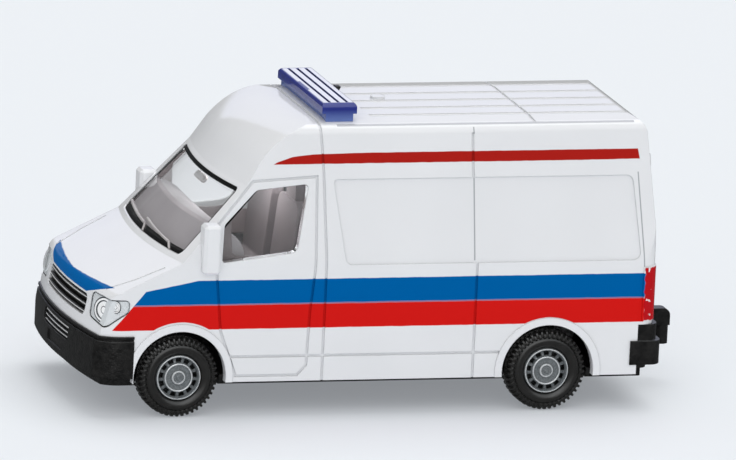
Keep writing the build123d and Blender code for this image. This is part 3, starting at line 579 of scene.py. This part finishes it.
# Tyre section from the bead on the outer face, over the tread, to the middle of the tread:
# radius below the tread, distance in from the outer face, and how far the notches between blocks cut in
BLOCK_COUNT = 46
BLOCK_OFFSET = 0.5             # of a block's pitch, from one edge of the tread to the other
NOTCH_DEPTH = 0.34
NOTCH_SHARE = 0.34             # of a block's pitch
STEPS_PER_BLOCK = 6
SECTION = [
    (2.34, 0.70, 0), (2.26, 0.48, 0), (2.14, 0.34, 0), (1.96, 0.20, 0), (1.78, 0.09, 0), (1.60, 0.02, 0),
    (1.45, 0.0, 0), (1.30, 0.03, 0), (1.16, 0.10, 0), (1.05, 0.20, 0), (0.98, 0.30, 0), (0.92, 0.33, 0),
    (0.84, 0.30, 0), (0.78, 0.22, 0.3), (0.70, 0.20, 1.0), (0.40, 0.24, 1.0), (0.14, 0.42, 1.0),
    (0.03, 0.68, 1.0), (0.0, 0.98, 1.0), (0.0, 1.34, 1.0), (0.04, 1.40, 0.9), (0.30, 1.44, 0),
    (0.30, 1.56, 0), (0.02, 1.62, 0), (0.0, 1.66, 0),
]


def make_tyre(node, body, material):
    """A treaded tyre in place of the plain one."""
    centre, side = wheel_place(node)
    rows = SECTION + [(below, TYRE_WIDTH - inward, cut) for below, inward, cut in reversed(SECTION)]
    steps = BLOCK_COUNT * STEPS_PER_BLOCK
    verts, faces = [], []
    for i, (below, inward, cut) in enumerate(rows):
        offset = BLOCK_OFFSET if i >= len(SECTION) else 0.0
        for k in range(steps):
            in_notch = (k / STEPS_PER_BLOCK + offset) % 1.0 < NOTCH_SHARE
            radius = TYRE_RADIUS - below - (NOTCH_DEPTH * cut if in_notch else 0)
            angle = 2 * math.pi * k / steps
            verts.append((centre.x + radius * math.cos(angle), side * (TYRE_FACE - inward),
                          centre.z + radius * math.sin(angle)))
    for i in range(len(rows)):
        j = (i + 1) % len(rows)
        for k in range(steps):
            m = (k + 1) % steps
            ring = (i * steps + k, i * steps + m, j * steps + m, j * steps + k)
            faces.append(ring if side > 0 else ring[::-1])
    piece = make_piece(node + "_treaded", verts, faces, material, body, 32)
    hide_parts(node)


# Hub section from the rim, in over the dished face, to the cap: radius, distance in from the hub's outer
# face, and how far the vents cut in
VENT_COUNT = 13
VENT_SHARE = 0.55              # of a vent's pitch
VENT_DEPTH = 0.75
STEPS_PER_VENT = 12
HUB_BACK_FLAT = 0.8            # radius of the flat in the middle of its back
HUB_SECTION = [
    (2.99, 1.0, 0), (2.99, 0.3, 0), (2.95, 0.12, 0), (2.88, 0.05, 0), (2.80, 0.05, 0), (2.72, 0.14, 0),
    (2.66, 0.46, 0), (2.58, 0.56, 0), (2.54, 0.56, 1.0), (2.08, 0.52, 1.0), (2.04, 0.50, 0), (1.95, 0.34, 0),
    (1.88, 0.16, 0), (1.80, 0.12, 0), (1.70, 0.16, 0), (1.62, 0.32, 0), (1.20, 0.38, 0), (0.98, 0.36, 0),
    (0.92, 0.20, 0), (0.86, 0.10, 0), (0.72, 0.08, 0), (0.64, 0.16, 0), (0.36, 0.14, 0), (0.30, 0.04, 0),
    (0.05, 0.02, 0),
]
HIGHLIGHT_RING_RADII = ((2.76, 2.96), (1.68, 1.9), (0.7, 0.93))      # radii between which the hub's raised rings take a painted highlight


def make_hub(node, body, material, ring_highlight):
    """A moulded hub with a rim, a ring of square vents and a cap, in place of the plain one."""
    centre, side = wheel_place(node)
    low, high = (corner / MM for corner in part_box(node))
    face = max(abs(low.y), abs(high.y))
    width = high.y - low.y
    rows = [(HUB_BACK_FLAT, width, 0), (HUB_SECTION[0][0], width, 0)] + HUB_SECTION
    steps = VENT_COUNT * STEPS_PER_VENT
    verts = []
    for radius, inward, cut in rows:
        for k in range(steps):
            in_vent = k / STEPS_PER_VENT % 1.0 < VENT_SHARE
            angle = 2 * math.pi * k / steps
            verts.append((centre.x + radius * math.cos(angle),
                          side * (face - inward - (VENT_DEPTH * cut if in_vent else 0)),
                          centre.z + radius * math.sin(angle)))
    faces = ring_faces(len(rows), steps)
    if side < 0:
        faces = [f[::-1] for f in faces]
    piece = make_piece(node + "_vented", verts, faces, material, body, 35)
    piece.data.materials.append(ring_highlight)
    for polygon in piece.data.polygons:
        spot = polygon.center / MM - centre
        radius = math.hypot(spot.x, spot.z)
        # Painted highlight: the raised rings' faces take the paler copy of the finish
        if any(inner < radius < outer for inner, outer in HIGHLIGHT_RING_RADII):
            polygon.material_index = 1
    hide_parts(node)


FAR_AHEAD = -100.0             # x, well in front of the toy, from which its front is felt for


def surface_of(*nodes):
    """The surface of some nodes, in millimetres, for seating small pieces on them."""
    verts, faces = [], []
    for node in nodes:
        mesh = frame["nodes"][node].data
        start = len(verts)
        verts += [v.co / MM for v in mesh.vertices]
        faces += [[start + i for i in p.vertices] for p in mesh.polygons]
    return BVHTree.FromPolygons(verts, faces)


def seat_on_front(shape, y, z):
    """The point and outward direction on the van's front, seen from ahead, at this y and z."""
    point, normal, *_ = shape.ray_cast(Vector((FAR_AHEAD, y, z)), Vector((1, 0, 0)))
    return point, -normal if normal.x > 0 else normal


def ring_faces(rings, sides):
    """Faces between rings of points, and over both ends."""
    faces = []
    for i in range(rings - 1):
        for k in range(sides):
            m = (k + 1) % sides
            faces.append((i * sides + k, i * sides + m, (i + 1) * sides + m, (i + 1) * sides + k))
    faces.append(tuple(range(sides))[::-1])
    faces.append(tuple((rings - 1) * sides + k for k in range(sides)))
    return faces


# Wipers moulded on the windscreen, in pale grey as a painted highlight of clear ridges catching the light:
# blade tip, blade heel and pivot, each as (y, z)
WIPERS = [
    ((12.9, 22.3), (1.0, 22.0), (-0.2, 21.3)),
    ((1.5, 22.5), (-9.2, 21.9), (-10.8, 21.3)),
]
WIPER_BLADE = 0.2              # radii
WIPER_ARM = 0.16
WIPER_SIDES = 6
WIPER_POINTS = 13
WIPER_PROUD = 0.7              # of the radius, from the glass to the wiper's middle
WIPER_CORNERS_FROM = (1, 0, 0.4)       # a direction well away from the wipers' own, to set their corners by


def make_wipers(material):
    shape = surface_of("cab_glazing", "body_shell")
    for number, (tip, heel, pivot) in enumerate(WIPERS):
        for part, ends, radius in (("blade", (tip, heel), WIPER_BLADE), ("arm", (heel, pivot), WIPER_ARM)):
            path = []
            for k in range(WIPER_POINTS):
                y, z = (ends[0][i] + (ends[1][i] - ends[0][i]) * k / (WIPER_POINTS - 1) for i in (0, 1))
                point, normal = seat_on_front(shape, y, z)
                path.append(point + normal * radius * WIPER_PROUD)
            verts = []
            for i, point in enumerate(path):
                ahead = path[min(i + 1, WIPER_POINTS - 1)] - path[max(i - 1, 0)]
                across = ahead.cross(Vector(WIPER_CORNERS_FROM)).normalized()
                up = across.cross(ahead).normalized()
                for k in range(WIPER_SIDES):
                    angle = 2 * math.pi * (k + 0.5) / WIPER_SIDES
                    verts.append(point + (across * math.cos(angle) + up * math.sin(angle)) * radius)
            faces = ring_faces(WIPER_POINTS, WIPER_SIDES)
            make_piece(f"wiper_{part}_{number + 1}", verts, faces, material, "vehicle", 50)


# Dash pad moulded close behind the windscreen. Its face follows the glass, and its crown is rounded to the
# back.
DASH_HALF_WIDTH = 13.1
DASH_FOOT = 19.9
DASH_SKIRT = 0.6               # flat height at the foot of the back
DASH_TUCK = 0.4                # how far back the face's foot is
DASH_GLASS_ROWS = (21.4, 22.4, 23.4, 24.4, 25.3)
DASH_BACK = 8.9                # station of the back
DASH_GAP = 1.05                # from the outside of the glass
DASH_COLUMNS = 27
DASH_ARC_STEPS = 10


def make_dash_pad(material):
    shape = surface_of("cab_glazing", "body_shell")
    back = FRONT_AXLE.x + DASH_BACK
    verts = []
    for k in range(DASH_COLUMNS):
        y = DASH_HALF_WIDTH * (2 * k / (DASH_COLUMNS - 1) - 1)
        profile = []
        for z in DASH_GLASS_ROWS:
            point, normal = seat_on_front(shape, y, z)
            profile.append(point - normal * DASH_GAP)
        crown = profile[-1]
        drop = crown.z - DASH_FOOT - DASH_SKIRT
        for i in range(1, DASH_ARC_STEPS + 1):
            t = math.pi / 2 * i / DASH_ARC_STEPS
            x = crown.x + (back - crown.x) * math.sin(t)
            profile.append(Vector((x, y, crown.z - drop * (1 - math.cos(t)))))
        profile += [Vector((back, y, DASH_FOOT)), Vector((profile[0].x + DASH_TUCK, y, DASH_FOOT))]
        verts += profile
    sides = len(verts) // DASH_COLUMNS
    make_piece("dash_pad", verts, ring_faces(DASH_COLUMNS, sides), material, "vehicle", 45)


# Linings moulded inside the doors and front pillars: height, and the station of the back edge there. The
# front edge follows the windscreen.
LINING_ROWS = [(17.6, 18.4), (18.2, 18.6), (20.6, 18.6), (20.85, 18.4), (20.9, 7.6), (21.4, 7.0), (24.0, 6.8),
               (25.7, 6.9), (26.3, 7.1), (28.3, 8.9)]
LINING_CORNERS = ((0, 0.42), (0, 0.12), (0.25, 0.0), (1, 0.0), (1, 0.42))      # share of the way back, inset
LINING_FOOT = 21.6             # below this height the front edge goes straight down
LINING_OUT = 13.75             # from the middle plane, up to the height where the side starts to lean
LINING_LEAN_FROM = 23.4
LINING_LEAN = 0.2
LINING_PROBE = 0.3             # in from the outer face, where the windscreen's place is taken
LINING_GAP = 1.3               # from the outside of the glass


def make_door_lining(side, material):
    shape = surface_of("cab_glazing", "body_shell")
    verts = []
    for z, back in LINING_ROWS:
        out = LINING_OUT - LINING_LEAN * max(z - LINING_LEAN_FROM, 0)
        point, normal = seat_on_front(shape, side * (out - LINING_PROBE), max(z, LINING_FOOT))
        front = (point - normal * LINING_GAP).x - FRONT_AXLE.x
        verts += [(FRONT_AXLE.x + front + (back - front) * share, side * (out - inset), z)
                  for share, inset in LINING_CORNERS]
    faces = ring_faces(len(LINING_ROWS), len(LINING_CORNERS))
    hand = "left" if side < 0 else "right"
    make_piece(f"door_lining_{hand}", verts, faces, material, "vehicle", 30)


# Catch of the light bar, at the middle of its back edge
LATCH_REACH = 0.75
LATCH_HALF_WIDTH = 0.5
LATCH_BEVEL = 0.1              # share of its size that it loses at each end
LATCH_SINK = 0.05              # into the bar
LATCH_DROP = 0.15              # from the bar's top


def make_bar_latch(material):
    back = BAR_HIGH.x - LATCH_SINK
    head = BAR_HIGH.z - LATCH_DROP
    side_view = [(0, -0.9), (LATCH_REACH * 0.45, -0.8), (LATCH_REACH, -0.15), (LATCH_REACH, 0.0),
                 (LATCH_REACH * 0.8, 0.1), (0, 0.1)]
    verts = []
    for y in (-LATCH_HALF_WIDTH, -LATCH_HALF_WIDTH * 0.8, LATCH_HALF_WIDTH * 0.8, LATCH_HALF_WIDTH):
        inset = 0.0 if abs(y) < LATCH_HALF_WIDTH else LATCH_BEVEL
        verts += [(back + reach * (1 - inset), y, head + rise * (1 - inset)) for reach, rise in side_view]
    make_piece("bar_latch", verts, ring_faces(4, len(side_view)), material, "vehicle", 50)


# Rear-view mirror moulded behind the windscreen, in pale grey as a painted highlight: middle (y, z), half
# width and half height
MIRROR_AT = (1.1, 29.0)
MIRROR_HALF = (2.0, 0.55)
MIRROR_BEHIND = 2.6            # from the outside of the glass
MIRROR_SECTION = [(0, 0.86), (0.1, 1.0), (0.45, 1.0), (0.55, 0.8)]      # depth, and share of the outline
MIRROR_ROUNDNESS = 0.5         # 1 is an ellipse, and 0 a rectangle
MIRROR_CORNERS = 24


def make_cab_mirror(material):
    point, normal = seat_on_front(surface_of("body_shell", "cab_glazing"), *MIRROR_AT)
    back = point - normal * MIRROR_BEHIND
    across = Vector((0, 1, 0))
    up = normal.cross(across).normalized()
    verts = []
    for depth, scale in MIRROR_SECTION:
        for k in range(MIRROR_CORNERS):
            angle = 2 * math.pi * k / MIRROR_CORNERS
            c, s = math.cos(angle), math.sin(angle)
            y = math.copysign(abs(c) ** MIRROR_ROUNDNESS, c) * MIRROR_HALF[0] * scale
            z = math.copysign(abs(s) ** MIRROR_ROUNDNESS, s) * MIRROR_HALF[1] * scale
            verts.append(back + across * y + up * z + normal * depth)
    faces = ring_faces(len(MIRROR_SECTION), MIRROR_CORNERS)
    make_piece("cab_mirror", verts, faces, material, "vehicle")


# Reflector bowls inside the headlamps: station, distance from the middle, height, radius
LAMP_BOWLS = [(-9.95, 14.45, 14.2, 1.75), (-8.4, 15.75, 14.85, 0.85)]
BOWL_STEPS = 40
BOWL_RINGS = [(1.0, -0.20), (0.88, -0.10), (0.74, -0.10), (0.62, -0.22), (0.40, -0.24), (0.30, -0.14),
              (0.24, -0.12), (0.12, -0.10), (0.02, -0.10)]      # share of the radius, and depth
# rings drawn in the dark copy of the foil, as painted shade on the bowls' sloping steps
BOWL_PAINTED_SHADE_RINGS = (0, 2, 5)
BOWL_FACES = (-1.0, 0.75, 0.12)        # forwards, outwards and up
LENS_THICKNESS = 0.22
LENS_WELD = 0.002              # points closer than this are one
OUTSIDE_LENS = 5.0


def make_lamp_core(side, core_material, material, ring_shade_material):
    """A bright core inside the clear lens, with round reflector bowls on its face, whose dark rings are
    painted shade.
    """
    node = "headlamp_left" if side < 0 else "headlamp_right"
    work = bmesh.new()
    work.from_mesh(frame["nodes"][node].data)
    bmesh.ops.remove_doubles(work, verts=work.verts, dist=LENS_WELD * MM)
    work.normal_update()
    verts = [v.co / MM - v.normal * LENS_THICKNESS for v in work.verts]
    faces = [[v.index for v in f.verts] for f in work.faces]
    work.free()
    make_piece(f"{node}_core", verts, faces, core_material, "vehicle", 30)
    lens = surface_of(node)
    for number, (u, out, z, radius) in enumerate(LAMP_BOWLS):
        outward = Vector((BOWL_FACES[0], side * BOWL_FACES[1], BOWL_FACES[2])).normalized()
        start = Vector((FRONT_AXLE.x + u, side * out, z)) + outward * OUTSIDE_LENS
        point = lens.ray_cast(start, -outward)[0]
        across = outward.cross(Vector((0, 0, 1))).normalized()
        up = across.cross(outward).normalized()
        verts = []
        for share, depth in BOWL_RINGS:
            for k in range(BOWL_STEPS):
                angle = 2 * math.pi * k / BOWL_STEPS
                spoke = across * math.cos(angle) + up * math.sin(angle)
                verts.append(point + spoke * share * radius + outward * depth)
        faces = ring_faces(len(BOWL_RINGS), BOWL_STEPS)
        bowl = make_piece(f"{node}_bowl_{number + 1}", verts, faces, material, "vehicle")
        # Painted shade: the sloping steps take the dark copy of the foil
        bowl.data.materials.append(ring_shade_material)
        for i, polygon in enumerate(bowl.data.polygons):
            polygon.material_index = 1 if i // BOWL_STEPS in BOWL_PAINTED_SHADE_RINGS else 0


def towards(azimuth, elevation):
    """The direction from the toy to something seen at this azimuth and elevation, in degrees."""
    a, e = math.radians(azimuth), math.radians(elevation)
    return Vector((math.sin(a) * math.cos(e), -math.cos(a) * math.cos(e), math.sin(e)))


def place_camera():
    camera = bpy.data.cameras.new("camera")
    camera.lens = CAMERA_LENS
    camera.sensor_width = CAMERA_SENSOR
    camera.clip_start = CAMERA_NEAR
    camera.clip_end = CAMERA_FAR
    holder = put("camera", camera)
    back = towards(CAMERA_AZIMUTH, CAMERA_ELEVATION)
    holder.rotation_mode = "QUATERNION"
    turn = (-back).to_track_quat("-Z", "Y")
    holder.rotation_quaternion = turn @ Matrix.Rotation(math.radians(CAMERA_ROLL), 4, "Z").to_quaternion()
    holder.location = (CAMERA_AIM + back * CAMERA_DISTANCE) * MM
    bpy.context.scene.camera = holder


# Lamps: name, azimuth and elevation they come from, strength, and softness in degrees
LAMPS = [
    ("overhead", (140, 70), 1.3, 50),
    ("front_fill", (-20, 32), 0.85, 60),
]
FLOOR_SIZE = 30.0              # metres
SKY_LIGHT = 0.56               # the even light from all round

# A small glow inside the cab, for the light that real thin glazing lets in: (station, y, z), watts and radius
CAB_LIGHT_AT = (11.5, 0.0, 30.3)
CAB_LIGHT_POWER = 0.0042
CAB_LIGHT_RADIUS = 2.0

# The light table: the light that it adds, and what the camera sees of it
TABLE_GLOW = 0.47
TABLE_GLOW_SEEN = 0.29

# The room that glossy surfaces see. Its bounds are parts of the unit direction, each with half of its blur.
FLOOR_GLOW = 0.12
ROOM_GLOW = 0.12
WALL_GLOW = 0.95               # the bright wall behind the toy, on the tail's side
WALL_FROM = (-0.13, 0.015)     # x where the wall starts
WALL_BEHIND = (0.0, 0.3)       # y
WALL_FOOT = (0.16, 0.03)       # z
CEILING_GLOW = 1.6
CEILING_FROM = (0.5, 0.56)     # z where it starts, and where it is whole


def make_floor(material):
    half = FLOOR_SIZE / 2
    corners = [(-half, -half, 0), (half, -half, 0), (half, half, 0), (-half, half, 0)]
    mesh = bpy.data.meshes.new("floor")
    mesh.from_pydata(corners, [], [(0, 1, 2, 3)])
    mesh.materials.append(material)
    floor = put("floor", mesh)


def place_lamps():
    for name, place, strength, softness in LAMPS:
        lamp = bpy.data.lights.new(name, "SUN")
        lamp.energy = strength
        lamp.angle = math.radians(softness)
        holder = put(name, lamp)
        holder.rotation_mode = "QUATERNION"
        holder.rotation_quaternion = (-towards(*place)).to_track_quat("-Z", "Y")
    glow = bpy.data.lights.new("cab_glow", "POINT")
    glow.energy = CAB_LIGHT_POWER
    glow.shadow_soft_size = CAB_LIGHT_RADIUS * MM
    holder = put("cab_glow", glow)
    holder.location = (Vector(CAB_LIGHT_AT) + Vector((FRONT_AXLE.x, 0, 0))) * MM
    holder.visible_camera = holder.visible_glossy = holder.visible_transmission = False


def light_room():
    """The world: the floor's colour to the camera and through glass, a room to glossy surfaces, and an even
    white light to the rest."""
    world = bpy.data.worlds.new("studio")
    bpy.context.scene.world = world
    world.use_nodes = True
    tree = world.node_tree
    tree.nodes.clear()
    rays = add(tree, "ShaderNodeLightPath").outputs
    direction = add(tree, "ShaderNodeTexCoord").outputs["Generated"]
    parts = add(tree, "ShaderNodeSeparateXYZ", {0: direction}).outputs
    wall = joined(tree, "MULTIPLY", [
        add(tree, "ShaderNodeMapRange", {
            "Value": parts[axis], "From Min": start - blur, "From Max": start + blur})
        for axis, (start, blur) in zip("XYZ", (WALL_FROM, WALL_BEHIND, WALL_FOOT))])
    round_it = add(tree, "ShaderNodeMapRange", {"Value": wall, "To Min": ROOM_GLOW, "To Max": WALL_GLOW})
    glow = add(tree, "ShaderNodeMapRange", {
        "Value": parts["Z"], "From Min": CEILING_FROM[0], "From Max": CEILING_FROM[1],
        "To Min": round_it, "To Max": CEILING_GLOW})
    light = add(tree, "ShaderNodeBackground", {"Color": SKY_WHITE, "Strength": SKY_LIGHT})
    tint = add(tree, "ShaderNodeMix", {0: wall, 6: STAGE, 7: WALL_TINT}, data_type="RGBA")
    room = add(tree, "ShaderNodeBackground", {"Color": tint, "Strength": glow})
    shown = add(tree, "ShaderNodeBackground", {"Color": STAGE, "Strength": 1.0})
    seen = joined(tree, "MAXIMUM", [rays["Is Transmission Ray"], rays["Is Camera Ray"]])
    unseen = add(tree, "ShaderNodeMixShader", {0: rays["Is Glossy Ray"], 1: light, 2: room})
    whole = add(tree, "ShaderNodeMixShader", {0: seen, 1: unseen, 2: shown})
    add(tree, "ShaderNodeOutputWorld", {"Surface": whole})


finishes = {
    "white_enamel": gloss_enamel(),
    "clear_plastic": crystal_polystyrene(
        "clear_polystyrene", 0.03, (SCREEN_FOOT_BORDER, SCREEN_HEAD_BORDER, SCREEN_SIDE_BORDER)),
    "grey_plastic": grey_abs("grey_abs", CABIN_DARK, CABIN_GREY),
    "black_plastic": black_polypropylene(),
    "lamp_plastic": crystal_polystyrene("lamp_polystyrene", 0.04),
    "blue_plastic": tinted_polystyrene(),
    "steel": drawn_steel(),
    "hub_plastic": silver_abs("silver_abs", HUB_GREY, HUB_PALE),
    "tyre_rubber": tyre_pvc(),
}
foiled = {
    "radiator_grille": black_polypropylene("foiled_grille", GRILLE_SLATS),
    "front_bumper": black_polypropylene("foiled_intake", INTAKE_SLATS, INTAKE_HALF_WIDTH),
}
for row in frame["record"]["subparts"]:
    node = frame["nodes"][row["node"]]
    node.data.materials.clear()
    node.data.materials.append(foiled.get(row["node"], finishes[row["material_slot"]]))

place_camera()
# A paler copy of the hub finish, as a painted highlight on the raised rings
ring_highlight_silver = silver_abs("painted_highlight_silver_abs", RING_HIGHLIGHT_GREY, RING_HIGHLIGHT_PALE)
for place in ("front", "rear"):
    for hand in ("left", "right"):
        make_tyre(f"{place}_{hand}_tyre", f"{place}_wheelset", finishes["tyre_rubber"])
        make_hub(f"{place}_{hand}_hub", f"{place}_wheelset", finishes["hub_plastic"], ring_highlight_silver)
# Pale grey stands for a painted highlight: the wipers and mirror are clear ridges that catch the light
pale_highlight_moulding = grey_abs("pale_highlight_abs", CABIN_GREY, PALE_HIGHLIGHT_GREY)
make_wipers(pale_highlight_moulding)
make_cab_mirror(pale_highlight_moulding)
make_dash_pad(grey_abs("dash_abs", DASH_DARK, DASH_GREY))
lining = grey_abs("lining_abs", LINING_DARK, LINING_GREY)
for side in (-1, 1):
    make_door_lining(side, lining)
make_bar_latch(finishes["black_plastic"])
core = foiled_reflector("foiled_core", FOIL_CORE)
reflector = foiled_reflector("foiled_reflector", FOIL_BOWL)
# a dark copy of the foil, as painted shade on the bowls' rings
reflector_ring_shade = foiled_reflector("painted_shade_reflector_ring", FOIL_RING_SHADE)
for side in (-1, 1):
    make_lamp_core(side, core, reflector, reflector_ring_shade)
make_floor(stage_paper())
place_lamps()
light_room()
bpy.context.scene.view_settings.view_transform = "Standard"
